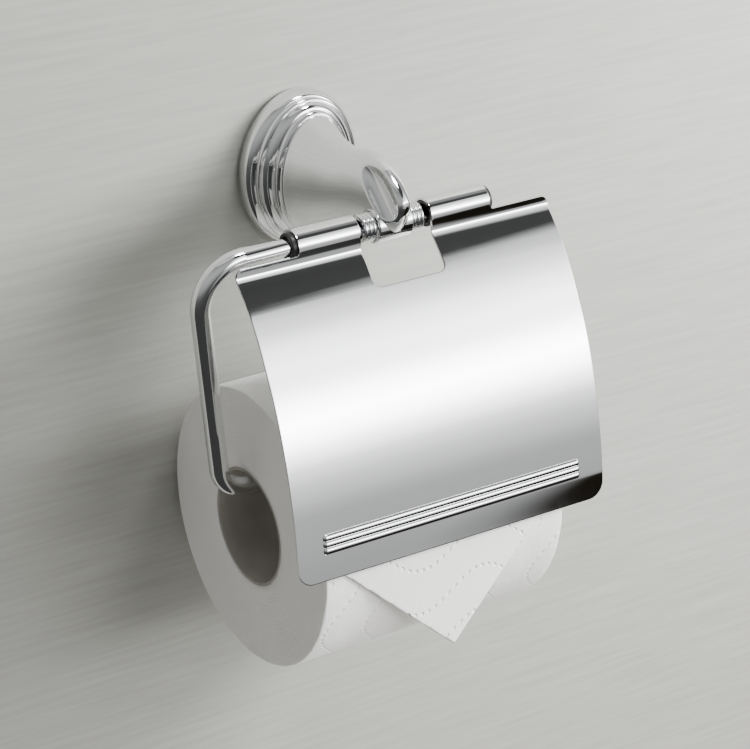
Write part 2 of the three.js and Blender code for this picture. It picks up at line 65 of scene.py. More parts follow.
# ---------------------------------------------------------------- room
# A plain pale wall and a plain pale floor. Both are painted boards that show only their
# faces towards the room, so the holder is seen from behind and from below as well.
def backdrop(name, corners, colour, grain):
    sheet = bpy.data.meshes.new(name)
    sheet.from_pydata(corners, [], [(0, 1, 2, 3)])
    board = bpy.data.objects.new(name, sheet)
    bpy.context.collection.objects.link(board)
    mat = bpy.data.materials.new(name)
    mat.use_nodes = True
    nt = mat.node_tree
    bsdf = nt.nodes["Principled BSDF"]
    bsdf.inputs["Roughness"].default_value = 0.75
    tc = nt.nodes.new("ShaderNodeTexCoord")
    mp = nt.nodes.new("ShaderNodeMapping")
    mp.inputs["Scale"].default_value = (22, 22, 420)
    mp.inputs["Rotation"].default_value = (0, 0.03, 0)
    noise = nt.nodes.new("ShaderNodeTexNoise")
    noise.inputs["Scale"].default_value = 1.0
    noise.inputs["Detail"].default_value = 3.0
    ramp = nt.nodes.new("ShaderNodeValToRGB")
    ramp.color_ramp.elements[0].position = 0.3
    ramp.color_ramp.elements[1].position = 0.7
    ramp.color_ramp.elements[0].color = (*[c * (1 - grain) for c in colour], 1)
    ramp.color_ramp.elements[1].color = (*colour, 1)
    nt.links.new(tc.outputs["Object"], mp.inputs["Vector"])
    nt.links.new(mp.outputs["Vector"], noise.inputs["Vector"])
    nt.links.new(noise.outputs["Fac"], ramp.inputs["Fac"])
    nt.links.new(ramp.outputs["Color"], bsdf.inputs["Base Color"])
    see_through = nt.nodes.new("ShaderNodeBsdfTransparent")
    geo = nt.nodes.new("ShaderNodeNewGeometry")
    mix = nt.nodes.new("ShaderNodeMixShader")
    nt.links.new(geo.outputs["Backfacing"], mix.inputs["Fac"])
    nt.links.new(bsdf.outputs["BSDF"], mix.inputs[1])
    nt.links.new(see_through.outputs["BSDF"], mix.inputs[2])
    nt.links.new(mix.outputs["Shader"], nt.nodes["Material Output"].inputs["Surface"])
    board.data.materials.append(mat)
    return board

wall_y, floor_z, room = 0.0006, -0.40, 1.6
backdrop("wall", [(-room, wall_y, floor_z), (room, wall_y, floor_z), (room, wall_y, room),
                  (-room, wall_y, room)], (0.335, 0.336, 0.312), 0.15)
ground = backdrop("floor", [(-room, wall_y, floor_z), (-room, -2 * room, floor_z),
                            (room, -2 * room, floor_z), (room, wall_y, floor_z)], (0.34, 0.338, 0.318), 0.02)
ground.visible_glossy = False

# ---------------------------------------------------------------- light
# Soft studio light: a bright panel in front and to the right, which the bowed plate mirrors as
# its white band, a dark room above and below it, a dark card low on the right, and two soft boxes.
world = bpy.data.worlds.new("room_light")
bpy.context.scene.world = world
world.use_nodes = True
wt = world.node_tree
background = wt.nodes["Background"]

def world_math(kind, a, b=0.0, c=0.0):
    step = wt.nodes.new("ShaderNodeMath")
    step.operation = kind
    for socket, value in zip(step.inputs, (a, b, c)):
        if isinstance(value, (int, float)):
            socket.default_value = value
        else:
            wt.links.new(value, socket)
    return step.outputs["Value"]

def world_ramp(value, stops):
    ramp = wt.nodes.new("ShaderNodeValToRGB")
    points = ramp.color_ramp.elements
    while len(points) < len(stops):
        points.new(0.5)
    for point, (place, shade) in zip(points, stops):
        point.position = place
        point.color = (shade, shade, shade, 1)
    wt.links.new(value, ramp.inputs["Fac"])
    return ramp.outputs["Color"]

direction = wt.nodes.new("ShaderNodeTexCoord")
split = wt.nodes.new("ShaderNodeSeparateXYZ")
wt.links.new(direction.outputs["Generated"], split.inputs["Vector"])
rise = world_math("DIVIDE", world_math("ARCSINE", split.outputs["Z"]), math.pi / 2)
height = world_math("MULTIPLY_ADD", rise, 0.5, 0.5)
turn = world_math("ARCTAN2", split.outputs["X"], world_math("MULTIPLY", split.outputs["Y"], -1.0))
swing = world_math("MULTIPLY_ADD", turn, 0.5 / math.pi, 0.5)

def up(degrees):
    return 0.5 + degrees / 180

def around(degrees):
    return 0.5 + degrees / 360

room_shade = world_ramp(height, [
    (up(-90), 0.05), (up(-45), 0.05), (up(-25), 0.06), (up(-12), 0.09), (up(-3), 0.16), (up(5), 0.30),
    (up(18), 0.44), (up(35), 0.50), (up(50), 0.42), (up(60), 0.30), (up(66), 0.8), (up(78), 0.8),
    (up(84), 0.40)])
panel_shade = world_ramp(height, [
    (up(-90), 0.06), (up(-45), 0.045), (up(-24.5), 0.055), (up(-22.5), 0.50), (up(-14), 0.58), (up(-8), 0.62),
    (up(-5.5), 0.80), (up(-2.5), 1.25), (up(1), 2.3), (up(4.5), 5.2), (up(7.5), 10.0), (up(11), 14.0),
    (up(15.4), 10.5), (up(20), 6.7), (up(23), 4.6), (up(28), 3.2), (up(33), 2.0), (up(38), 1.45),
    (up(42.5), 1.15), (up(44), 0.5), (up(45.5), 0.07), (up(59), 0.05), (up(65), 0.06), (up(69), 1.4),
    (up(78), 1.4), (up(84), 0.4)])
panel_side = world_ramp(swing, [
    (around(4), 0.0), (around(18), 1.0), (around(60), 1.0), (around(76), 0.0)])
low_card = world_ramp(height, [(up(-40), 1.0), (up(-17.6), 1.0), (up(-16.4), 0.0)])
card_side = world_ramp(swing, [
    (around(33.4), 0.0), (around(34.4), 1.0), (around(60), 1.0), (around(64), 0.0)])
both = wt.nodes.new("ShaderNodeMixRGB")
wt.links.new(panel_side, both.inputs["Fac"])
wt.links.new(room_shade, both.inputs["Color1"])
wt.links.new(panel_shade, both.inputs["Color2"])
dark_card = wt.nodes.new("ShaderNodeMixRGB")
wt.links.new(world_math("MULTIPLY", low_card, card_side), dark_card.inputs["Fac"])
wt.links.new(both.outputs["Color"], dark_card.inputs["Color1"])
dark_card.inputs["Color2"].default_value = (0.012, 0.010, 0.007, 1)
wt.links.new(dark_card.outputs["Color"], background.inputs["Color"])
background.inputs["Strength"].default_value = 1.0

def soft_box(name, azimuth, elevation, far, size, power, mirrored):
    lamp = bpy.data.lights.new(name, "AREA")
    lamp.shape = "RECTANGLE"
    lamp.size, lamp.size_y = size
    lamp.energy = power
    box = bpy.data.objects.new(name, lamp)
    a, e = math.radians(azimuth), math.radians(elevation)
    aim = Vector((0, -0.04, -0.06))
    ray = Vector((math.sin(a) * math.cos(e), -math.cos(a) * math.cos(e), math.sin(e)))
    box.location = aim + ray * far
    box.rotation_euler = (-ray).to_track_quat("-Z", "Y").to_euler()
    box.visible_glossy = mirrored
    bpy.context.collection.objects.link(box)

soft_box("key_light", 45, 70, 1.5, (0.35, 0.35), 13, True)
soft_box("side_light", 60, 24, 0.62, (0.26, 0.24), 13, False)

# ---------------------------------------------------------------- post
# The flange, the cone, the curved arm and the cross barrel are one zinc casting, ground and
# chrome plated. Leaf-shaped hollows on both sides of the arm leave a narrow spine.
def catmull(points, per):
    out = []
    n = len(points)
    for i in range(n - 1):
        p0, p1 = points[max(i - 1, 0)], points[i]
        p2, p3 = points[i + 1], points[min(i + 2, n - 1)]
        for k in range(per):
            t = k / per
            out.append(tuple(
                0.5 * (2 * b + (c - a) * t + (2 * a - 5 * b + 4 * c - d) * t * t
                       + (3 * b - a - 3 * c + d) * t ** 3)
                for a, b, c, d in zip(p0, p1, p2, p3)))
    out.append(tuple(points[-1]))
    return out

def mesh_object(name, verts, faces, smooth=True):
    made = bpy.data.meshes.new(name)
    made.from_pydata([tuple(c * MM for c in v) for v in verts], [], faces)
    made.validate()
    for poly in made.polygons:
        poly.use_smooth = smooth
    thing = bpy.data.objects.new(name, made)
    bpy.context.collection.objects.link(thing)
    return thing

def turned(profile, around=(0, 0), sides=96):
    """Rings of a closed [radius, x] profile turned about a line along X."""
    n = len(profile)
    verts = []
    for r, x in profile:
        for k in range(sides):
            q = 2 * math.pi * k / sides
            verts.append((x, around[0] + r * math.cos(q), around[1] + r * math.sin(q)))
    faces = []
    for i in range(n):
        for k in range(sides):
            a, b = i * sides + k, i * sides + (k + 1) % sides
            c, d = ((i + 1) % n) * sides + (k + 1) % sides, ((i + 1) % n) * sides + k
            faces.append((a, b, c, d))
    return verts, faces

def face_out(thing):
    bm = bmesh.new()
    bm.from_mesh(thing.data)
    bmesh.ops.remove_doubles(bm, verts=bm.verts, dist=1e-7)
    bmesh.ops.recalc_face_normals(bm, faces=bm.faces)
    bm.to_mesh(thing.data)
    bm.free()

def plating_wear():
    """Fine smudges and hairlines of a wiped, plated surface: 0 clean, 1 smudged."""
    group = bpy.data.node_groups.new("plating_wear", "ShaderNodeTree")
    face = group.interface
    face.new_socket("Smudge size", in_out="INPUT", socket_type="NodeSocketFloat").default_value = 60
    face.new_socket("Hairlines", in_out="INPUT", socket_type="NodeSocketFloat").default_value = 900
    face.new_socket("Smudge", in_out="OUTPUT", socket_type="NodeSocketFloat")
    face.new_socket("Height", in_out="OUTPUT", socket_type="NodeSocketFloat")
    gi, go = group.nodes.new("NodeGroupInput"), group.nodes.new("NodeGroupOutput")
    tc = group.nodes.new("ShaderNodeTexCoord")
    cloud = group.nodes.new("ShaderNodeTexNoise")
    cloud.inputs["Detail"].default_value = 5
    hair = group.nodes.new("ShaderNodeTexNoise")
    hair.inputs["Detail"].default_value = 2
    stretch = group.nodes.new("ShaderNodeMapping")
    stretch.inputs["Scale"].default_value = (0.08, 1, 1)
    spread = group.nodes.new("ShaderNodeMapRange")
    spread.inputs["From Min"].default_value = 0.45
    spread.inputs["From Max"].default_value = 0.8
    group.links.new(tc.outputs["Object"], cloud.inputs["Vector"])
    group.links.new(gi.outputs["Smudge size"], cloud.inputs["Scale"])
    group.links.new(tc.outputs["Object"], stretch.inputs["Vector"])
    group.links.new(stretch.outputs["Vector"], hair.inputs["Vector"])
    group.links.new(gi.outputs["Hairlines"], hair.inputs["Scale"])
    group.links.new(cloud.outputs["Fac"], spread.inputs["Value"])
    group.links.new(spread.outputs["Result"], go.inputs["Smudge"])
    group.links.new(hair.outputs["Fac"], go.inputs["Height"])
    return group

wear = plating_wear()

def plated(name, colour, rough_clean, rough_smudged, hair_height):
    mat = bpy.data.materials.new(name)
    mat.use_nodes = True
    nt = mat.node_tree
    bsdf = nt.nodes["Principled BSDF"]
    bsdf.inputs["Base Color"].default_value = (*colour, 1)
    bsdf.inputs["Metallic"].default_value = 1.0
    marks = nt.nodes.new("ShaderNodeGroup")
    marks.node_tree = wear
    rough = nt.nodes.new("ShaderNodeMapRange")
    rough.inputs["To Min"].default_value = rough_clean
    rough.inputs["To Max"].default_value = rough_smudged
    bump = nt.nodes.new("ShaderNodeBump")
    bump.inputs["Distance"].default_value = hair_height
    bump.inputs["Strength"].default_value = 1.0
    nt.links.new(marks.outputs["Smudge"], rough.inputs["Value"])
    nt.links.new(rough.outputs["Result"], bsdf.inputs["Roughness"])
    nt.links.new(marks.outputs["Height"], bump.inputs["Height"])
    nt.links.new(bump.outputs["Normal"], bsdf.inputs["Normal"])
    return mat

chrome = plated("polished_chrome", (0.84, 0.85, 0.86), 0.03, 0.075, 0.0000015)

reach, rod_drop, rod_radius = 60.4, 1.0, 3.5
rod_z = -rod_drop
half_w, half_h, flange_depth = 23.8, 29.3, 14.1
pocket_w, pocket_h, pocket_depth = half_w - 5.4, half_h - 5.4, 9.0
flange_rings = [
    (0, -0.5, -0.5), (0.25, -0.15, -0.15), (0.9, 0, 0), (3.2, 0, 0), (4.8, -0.6, -0.4), (5.9, -1.6, -0.8),
    (6.6, -2.7, -1.3), (6.9, -3.3, -1.8), (7.2, -3.4, -1.9), (7.5, -3.3, -1.8), (7.9, -3.05, -1.6),
    (8.6, -3.3, -1.9), (9.0, -4.2, -2.4), (9.2, -4.9, -2.9), (10.4, -5.9, -3.6), (11.2, -7.3, -4.4),
    (11.5, -8.2, -5.1), (11.8, -8.4, -5.3), (12.1, -8.35, -5.3), (12.5, -8.1, -5.1),
    (13.1, -8.4, -5.4), (13.6, -9.2, -6.0), (14.1, -10.1, -6.7)]
arm_rings = [
    (0.07, 12.7, 21.6, -21.4), (0.16, 11.5, 20.3, -18.8), (0.27, 10.4, 19.2, -16.0),
    (0.39, 9.5, 18.7, -13.4), (0.51, 8.7, 18.9, -11.2), (0.62, 8.0, 20.2, -9.4),
    (0.71, 7.5, 21.3, -8.3), (0.80, 7.1, 21.7, -7.5), (0.89, 6.9, 21.2, -6.9),
    (0.98, 6.9, 19.8, -6.3), (1.06, 6.6, 17.8, -5.0), (1.12, 5.8, 15.9, -3.0),
    (1.17, 4.4, 13.9, 0.2), (1.205, 3.3, 12.2, 3.2), (1.23, 2.2, 10.6, 5.4), (1.238, 1.2, 9.5, 6.7),
    (1.2415, 0.3, 8.6, 7.6)]
outside = [(d, half_w + a, half_h + b, -half_h - b) for d, a, b in flange_rings]
outside += [(flange_depth + t * (reach - flange_depth), a, top, low)
            for t, a, top, low in arm_rings]
pocket = [(pocket_depth, 0.05, 0.05, -0.05), (pocket_depth, pocket_w - 4, pocket_h - 4, 4 - pocket_h),
          (pocket_depth - 0.5, pocket_w - 3, pocket_h - 3, 3 - pocket_h),
          (pocket_depth - 3, pocket_w - 1, pocket_h - 1, 1 - pocket_h),
          (0.3, pocket_w, pocket_h, -pocket_h), (0.0, pocket_w + 0.3, pocket_h + 0.3, -pocket_h - 0.3)]
sections = pocket + catmull(outside, 7)
around_post = 240
scoop_y, scoop_z, scoop_size, scoop_lean, spine_half = -59.5, 13.7, (6.3, 11.5, 4.2), math.radians(42), 2.5
verts = []
for d, a, top, low in sections:
    for k in range(around_post):
        q = 2 * math.pi * k / around_post
        x, y, z = a * math.cos(q), -d, (top + low) / 2 + (top - low) / 2 * math.sin(q)
        dy, dz = y - scoop_y, z - scoop_z
        back = max(dy * math.cos(scoop_lean) + dz * math.sin(scoop_lean), 0) / scoop_size[1]
        down = max(dy * math.sin(scoop_lean) - dz * math.cos(scoop_lean), 0) / scoop_size[2]
        inside = 1 - back * back - down * down
        if inside > 0 and d > 30:
            floor_x = spine_half + scoop_size[0] * (1 - math.sqrt(inside))
            soft = 0.35
            blend = max(soft - abs(abs(x) - floor_x), 0) / soft
            x = math.copysign(min(abs(x), floor_x) - blend * blend * soft / 4, x)
        verts.append((x, y, z))
faces = []
for i in range(len(sections) - 1):
    for k in range(around_post):
        a, b = i * around_post + k, i * around_post + (k + 1) % around_post
        faces.append((a, b, b + around_post, a + around_post))
faces.append(tuple(range(around_post)))
faces.append(tuple(range((len(sections) - 1) * around_post, len(sections) * around_post)))
bore, barrel, barrel_half = rod_radius + 1.2, rod_radius + 2.7, 7.0
rim = [(barrel - 0.6 + 0.6 * math.sin(t), barrel_half - 0.6 + 0.6 * math.cos(t))
       for t in [math.pi / 2 * i / 6 for i in range(7)]]
barrel_profile = ([(bore, -barrel_half)] + [(r, -x) for r, x in rim]
                  + [(r, x) for r, x in reversed(rim)] + [(bore, barrel_half)])
bv, bf = turned(barrel_profile, (-reach, rod_z), 128)
faces += [tuple(i + len(verts) for i in f) for f in bf]
verts += bv
post = mesh_object("post", verts, faces)
face_out(post)
post.data.materials.append(chrome)
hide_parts("post_casting")
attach(post, "post")

# ---------------------------------------------------------------- wall fixings
# A zinc-plated bracket is screwed to the wall through two grey nylon plugs, and a small set
# screw under the flange clamps the casting on it. They keep the shapes they are made to.
zinc = plated("zinc_plated_steel", (0.60, 0.62, 0.64), 0.28, 0.48, 0.00001)

def moulded(name, colour, rough, grain_size, grain_height, coat=0.0):
    mat = bpy.data.materials.new(name)
    mat.use_nodes = True
    nt = mat.node_tree
    bsdf = nt.nodes["Principled BSDF"]
    bsdf.inputs["Coat Weight"].default_value = coat
    tc = nt.nodes.new("ShaderNodeTexCoord")
    grain = nt.nodes.new("ShaderNodeTexNoise")
    grain.inputs["Scale"].default_value = grain_size
    grain.inputs["Detail"].default_value = 4
    tint = nt.nodes.new("ShaderNodeValToRGB")
    tint.color_ramp.elements[0].color = (*[c * 0.88 for c in colour], 1)
    tint.color_ramp.elements[1].color = (*[min(1, c * 1.06) for c in colour], 1)
    rough_map = nt.nodes.new("ShaderNodeMapRange")
    rough_map.inputs["To Min"].default_value = rough - 0.06
    rough_map.inputs["To Max"].default_value = rough + 0.08
    bump = nt.nodes.new("ShaderNodeBump")
    bump.inputs["Distance"].default_value = grain_height
    nt.links.new(tc.outputs["Object"], grain.inputs["Vector"])
    nt.links.new(grain.outputs["Fac"], tint.inputs["Fac"])
    nt.links.new(tint.outputs["Color"], bsdf.inputs["Base Color"])
    nt.links.new(grain.outputs["Fac"], rough_map.inputs["Value"])
    nt.links.new(rough_map.outputs["Result"], bsdf.inputs["Roughness"])
    nt.links.new(grain.outputs["Fac"], bump.inputs["Height"])
    nt.links.new(bump.outputs["Normal"], bsdf.inputs["Normal"])
    return mat

grey_nylon = moulded("grey_nylon", (0.30, 0.32, 0.34), 0.55, 2400, 0.00004)
white_nylon = moulded("white_nylon", (0.80, 0.80, 0.77), 0.45, 2000, 0.00002)
for node, mat in (("wall_bracket", zinc), ("wall_screw_upper", zinc), ("wall_screw_lower", zinc),
                  ("grub_screw", zinc), ("wall_plug_upper", grey_nylon),
                  ("wall_plug_lower", grey_nylon), ("barrel_bush_left", white_nylon),
                  ("barrel_bush_right", white_nylon)):
    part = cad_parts[node]
    if not part.material_slots:
        part.data.materials.append(mat)
    for place in part.material_slots:
        place.material = mat

# ---------------------------------------------------------------- bent rod
# One round bar, bent cold in three straight runs and chrome plated, with its ends rounded.
# Its middle line lies in a plane that leans back to the wall a little.
hang_back, side_lean = math.radians(4.7), math.radians(8.7)
corner_x, hang, top_bend, low_bend = -76.7, 91.3, 16.0, 12.0
rod_right, rod_low_end = 39.6, 50.0

def in_hanger(s, t):
    return (s, -reach + t * math.sin(hang_back), rod_z - t * math.cos(hang_back))

line, turn1, turn2 = [], math.pi / 2 + side_lean, math.pi / 2 - side_lean
leg1, leg2 = top_bend * math.tan(turn1 / 2), low_bend * math.tan(turn2 / 2)
low_corner = corner_x + hang * math.tan(side_lean)
end_round = 0.9
for i in range(7):
    q = math.pi / 2 * i / 6
    line.append((rod_right - end_round * (1 - math.cos(math.pi / 2 - q)), 0.0,
                 rod_radius - end_round * (1 - math.sin(q))))
for s0, t0, start, turn, r in (
        (corner_x + leg1, 0.0, 0.0, turn1, top_bend),
        (low_corner - leg2 * math.sin(side_lean), hang - leg2 * math.cos(side_lean), turn1, turn2, low_bend)):
    for i in range(33):
        q = start + turn * i / 32
        line.append((s0 - r * (math.sin(q) - math.sin(start)), t0 + r * (math.cos(start) - math.cos(q)),
                     rod_radius))
for i in range(9):
    q = math.pi / 2 * i / 8
    line.append((rod_low_end - 2.4 * (1 - math.sin(q)), hang, max(rod_radius * math.cos(q) ** 0.6, 0.3)))

centre_line = bpy.data.curves.new("rod_line", "CURVE")
centre_line.dimensions = "3D"
run = centre_line.splines.new("POLY")
run.points.add(len(line) - 1)
for point, (s, t, r) in zip(run.points, line):
    point.co = (*[c * MM for c in in_hanger(s, t)], 1)
    point.radius = r / rod_radius
rod_path = bpy.data.objects.new("rod_path", centre_line)
bpy.context.collection.objects.link(rod_path)

def bar_along_path(material):
    tree = bpy.data.node_groups.new("bar_along_path", "GeometryNodeTree")
    tree.interface.new_socket("Path", in_out="INPUT", socket_type="NodeSocketGeometry")
    tree.interface.new_socket("Bar radius", in_out="INPUT", socket_type="NodeSocketFloat")
    tree.interface.new_socket("Sides", in_out="INPUT", socket_type="NodeSocketInt")
    tree.interface.new_socket("Bar", in_out="OUTPUT", socket_type="NodeSocketGeometry")
    gi, go = tree.nodes.new("NodeGroupInput"), tree.nodes.new("NodeGroupOutput")
    ring = tree.nodes.new("GeometryNodeCurvePrimitiveCircle")
    skin = tree.nodes.new("GeometryNodeCurveToMesh")
    skin.inputs["Fill Caps"].default_value = True
    width = tree.nodes.new("GeometryNodeInputRadius")
    smooth = tree.nodes.new("GeometryNodeSetShadeSmooth")
    paint = tree.nodes.new("GeometryNodeSetMaterial")
    paint.inputs["Material"].default_value = material
    real = tree.nodes.new("GeometryNodeRealizeInstances")
    ln = tree.links.new
    ln(gi.outputs["Path"], skin.inputs["Curve"])
    ln(gi.outputs["Bar radius"], ring.inputs["Radius"])
    ln(gi.outputs["Sides"], ring.inputs["Resolution"])
    ln(ring.outputs["Curve"], skin.inputs["Profile Curve"])
    ln(width.outputs["Radius"], skin.inputs["Scale"])
    ln(skin.outputs["Mesh"], smooth.inputs["Geometry"])
    ln(smooth.outputs["Geometry"], real.inputs["Geometry"])
    ln(real.outputs["Geometry"], paint.inputs["Geometry"])
    ln(paint.outputs["Geometry"], go.inputs["Bar"])
    return tree

def grown(source, tree, name, values):
    """Runs a tree on an object and returns its result as a plain mesh object."""
    grow = source.modifiers.new("grow", "NODES")
    grow.node_group = tree
    for item in tree.interface.items_tree:
        if item.item_type == "SOCKET" and item.in_out == "INPUT" and item.name in values:
            grow[item.identifier] = values[item.name]
    bpy.context.view_layer.update()
    shot = source.evaluated_get(bpy.context.evaluated_depsgraph_get())
    made = bpy.data.meshes.new_from_object(shot)
    made.name = name
    source.modifiers.remove(grow)
    thing = bpy.data.objects.new(name, made)
    bpy.context.collection.objects.link(thing)
    bpy.data.objects.remove(source)
    return thing

rod = grown(rod_path, bar_along_path(chrome), "bent_rod", {"Bar radius": rod_radius * MM, "Sides": 48})
face_out(rod)
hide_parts("hanger_rod")
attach(rod, "hanger")

# ---------------------------------------------------------------- collars
# Two small turned collars, each with raised rings, are pressed on the rod beside the barrel
# and keep the hanger in the middle.
def ringed_collar(material):
    tree = bpy.data.node_groups.new("ringed_collar", "GeometryNodeTree")
    for label, kind in (("Sleeve", "NodeSocketGeometry"), ("Rings", "NodeSocketInt"),
                        ("First", "NodeSocketVector"), ("Step", "NodeSocketVector"),
                        ("Ring radius", "NodeSocketFloat"), ("Bead radius", "NodeSocketFloat")):
        tree.interface.new_socket(label, in_out="INPUT", socket_type=kind)
    tree.interface.new_socket("Collar", in_out="OUTPUT", socket_type="NodeSocketGeometry")
    gi, go = tree.nodes.new("NodeGroupInput"), tree.nodes.new("NodeGroupOutput")
    row = tree.nodes.new("GeometryNodeMeshLine")
    hoop = tree.nodes.new("GeometryNodeCurvePrimitiveCircle")
    hoop.inputs["Resolution"].default_value = 96
    bead = tree.nodes.new("GeometryNodeCurvePrimitiveCircle")
    bead.inputs["Resolution"].default_value = 20
    wrap = tree.nodes.new("GeometryNodeCurveToMesh")
    stand = tree.nodes.new("GeometryNodeTransform")
    stand.inputs["Rotation"].default_value = (0, math.pi / 2, 0)
    place = tree.nodes.new("GeometryNodeInstanceOnPoints")
    join = tree.nodes.new("GeometryNodeJoinGeometry")
    real = tree.nodes.new("GeometryNodeRealizeInstances")
    smooth = tree.nodes.new("GeometryNodeSetShadeSmooth")
    paint = tree.nodes.new("GeometryNodeSetMaterial")
    paint.inputs["Material"].default_value = material
    ln = tree.links.new
    ln(gi.outputs["Rings"], row.inputs["Count"])
    ln(gi.outputs["First"], row.inputs["Start Location"])
    ln(gi.outputs["Step"], row.inputs["Offset"])
    ln(gi.outputs["Ring radius"], hoop.inputs["Radius"])
    ln(gi.outputs["Bead radius"], bead.inputs["Radius"])
    ln(hoop.outputs["Curve"], wrap.inputs["Curve"])
    ln(bead.outputs["Curve"], wrap.inputs["Profile Curve"])
    ln(wrap.outputs["Mesh"], stand.inputs["Geometry"])
    ln(row.outputs["Mesh"], place.inputs["Points"])
    ln(stand.outputs["Geometry"], place.inputs["Instance"])
    ln(place.outputs["Instances"], join.inputs["Geometry"])
    ln(gi.outputs["Sleeve"], join.inputs["Geometry"])
    ln(join.outputs["Geometry"], real.inputs["Geometry"])
    ln(real.outputs["Geometry"], smooth.inputs["Geometry"])
    ln(smooth.outputs["Geometry"], paint.inputs["Geometry"])
    ln(paint.outputs["Geometry"], go.inputs["Collar"])
    return tree

collar_tree = ringed_collar(chrome)
collar_start, collar_length, collar_radius, bead_radius = barrel_half + 0.3, 5.0, rod_radius + 1.7, 0.83
for side, node in ((-1, "collar_left"), (1, "collar_right")):
    near, far = side * (collar_start + 0.1), side * (collar_start + collar_length - 0.1)
    sleeve_r = collar_radius - 0.75
    cv, cf = turned([(rod_radius + 0.05, near), (sleeve_r, near), (sleeve_r, far), (rod_radius + 0.05, far)],
                    (-reach, rod_z), 96)
    sleeve = mesh_object("sleeve", cv, cf)
    face_out(sleeve)
    collar = grown(sleeve, collar_tree, node + "_ringed", {
        "Rings": 3,
        "First": (side * (collar_start + collar_length / 6) * MM, -reach * MM, rod_z * MM),
        "Step": (side * collar_length / 3 * MM, 0.0, 0.0),
        "Ring radius": (collar_radius - bead_radius) * MM, "Bead radius": bead_radius * MM})
    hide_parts(node)
    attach(collar, "hanger")

# ---------------------------------------------------------------- hinge liners
# Black nylon sleeves line the rolled knuckles and stand out of their outer ends.
black_nylon = moulded("black_nylon", (0.012, 0.012, 0.013), 0.38, 1800, 0.00003)
knuckle_in, knuckle_out, liner_out = 14.7, 39.2, 1.8
liner_r0, liner_r1 = rod_radius + 0.15, rod_radius + 0.15 + 1.15
for side, node in ((-1, "hinge_liner_left"), (1, "hinge_liner_right")):
    x0, x1 = knuckle_in + 0.2, knuckle_out + liner_out
    lv, lf = turned([(liner_r0, side * x0), (liner_r1 - 0.2, side * x0), (liner_r1, side * (x0 + 0.2)),
                     (liner_r1, side * (x1 - 0.35)), (liner_r1 - 0.1, side * (x1 - 0.1)),
                     (liner_r1 - 0.35, side * x1), (liner_r0, side * x1)], (-reach, rod_z), 96)
    liner = mesh_object(node + "_sleeve", lv, lf)
    face_out(liner)
    liner.data.materials.append(black_nylon)
    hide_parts(node)
    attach(liner, "cover")

# ---------------------------------------------------------------- cover plate
# A blanked sheet of steel, rolled to a bow and chrome plated. Its two tabs are rolled over
# the rod as knuckles, the window between them clears the arm, and three ribs are pressed in.
plate_w, plate_t, cover_drop = 128.0, 0.9, 103.9
knuckle_wrap = math.radians(240)
knuckle_mid = rod_radius + 0.15 + 1.15 + 0.1 + plate_t / 2
bow = [(-knuckle_mid, 0.0), (-knuckle_mid + 0.05, -3.2), (-knuckle_mid - 0.25, -5.0), (-6.95, -6.8),
       (-10.1, -10.0), (-13.1, -13.3), (-16.1, -17.0), (-20.7, -24.0), (-25.6, -33.0), (-30.3, -42.3),
       (-34.4, -52.3),
       (-37.9, -62.8), (-41.0, -74.5), (-43.1, -84.5), (-44.6, -94.5), (-45.4, -cover_drop)]
side_line = [(knuckle_mid * math.cos(math.pi - knuckle_wrap * (1 - i / 80)),
              knuckle_mid * math.sin(math.pi - knuckle_wrap * (1 - i / 80))) for i in range(80)]
side_line += catmull(bow, 24)
side_line = np.array(side_line)
steps = np.hypot(*np.diff(side_line, axis=0).T)
length_at = np.concatenate([[0], np.cumsum(steps)])
total = float(length_at[-1])
tangent = np.gradient(side_line, length_at, axis=0)
tangent /= np.linalg.norm(tangent, axis=1)[:, None]

def length_of(drop):
    low = side_line[80:]
    return float(np.interp(drop, -low[:, 1], length_at[80:]))

wing_s, notch_s = length_of(1.6), length_of(15.8)
rib_half, rib_pitch, rib_s = 53.5, 2.3, length_of(cover_drop - 13.3)
rib_bead, rib_up = 1.06, 0.85

def plate_point(u, s):
    y = np.interp(s, length_at, side_line[:, 0])
    z = np.interp(s, length_at, side_line[:, 1])
    ty, tz = np.interp(s, length_at, tangent[:, 0]), np.interp(s, length_at, tangent[:, 1])
    rise = 0.0
    for i in (-1, 0, 1):
        ds = s - rib_s - i * rib_pitch
        du = max(abs(u) - (rib_half - rib_bead), 0)
        far = math.hypot(ds, du) / rib_bead
        if far < 1:
            rise = max(rise, rib_up * math.sqrt(1 - far * far))
    return (u, y - reach + tz * rise, z + rod_z - ty * rise)

half = plate_w / 2
corner, top_corner, notch_r, root = 6.0, 3.0, 3.0, 1.4
def arc(cx, cy, r, a0, a1, n=8):
    return [(cx + r * math.cos(a0 + (a1 - a0) * i / n), cy + r * math.sin(a0 + (a1 - a0) * i / n))
            for i in range(n + 1)]

right = [(0.0, notch_s)]
right += arc(knuckle_in - notch_r, notch_s - notch_r, notch_r, math.pi / 2, 0)
right += arc(knuckle_in + 0.5, 0.5, 0.5, math.pi, 1.5 * math.pi, 3)
right += arc(knuckle_out - 0.5, 0.5, 0.5, -math.pi / 2, 0, 3)
right += arc(knuckle_out + root, wing_s - root, root, math.pi, math.pi / 2, 6)
right += arc(half - top_corner, wing_s + top_corner, top_corner, -math.pi / 2, 0)
right += arc(half - corner, total - corner, corner, 0, math.pi / 2, 12)
outline = right + [(-u, s) for u, s in reversed(right[1:])]
fine = []
for (u0, s0), (u1, s1) in zip(outline, outline[1:] + outline[:1]):
    n = max(1, int(math.hypot(u1 - u0, s1 - s0) / 0.8))
    fine += [(u0 + (u1 - u0) * i / n, s0 + (s1 - s0) * i / n) for i in range(n)]
fine = np.array(fine)
nxt, prv = np.roll(fine, -1, 0), np.roll(fine, 1, 0)
edge_dir = nxt - prv
edge_dir /= np.linalg.norm(edge_dir, axis=1)[:, None]
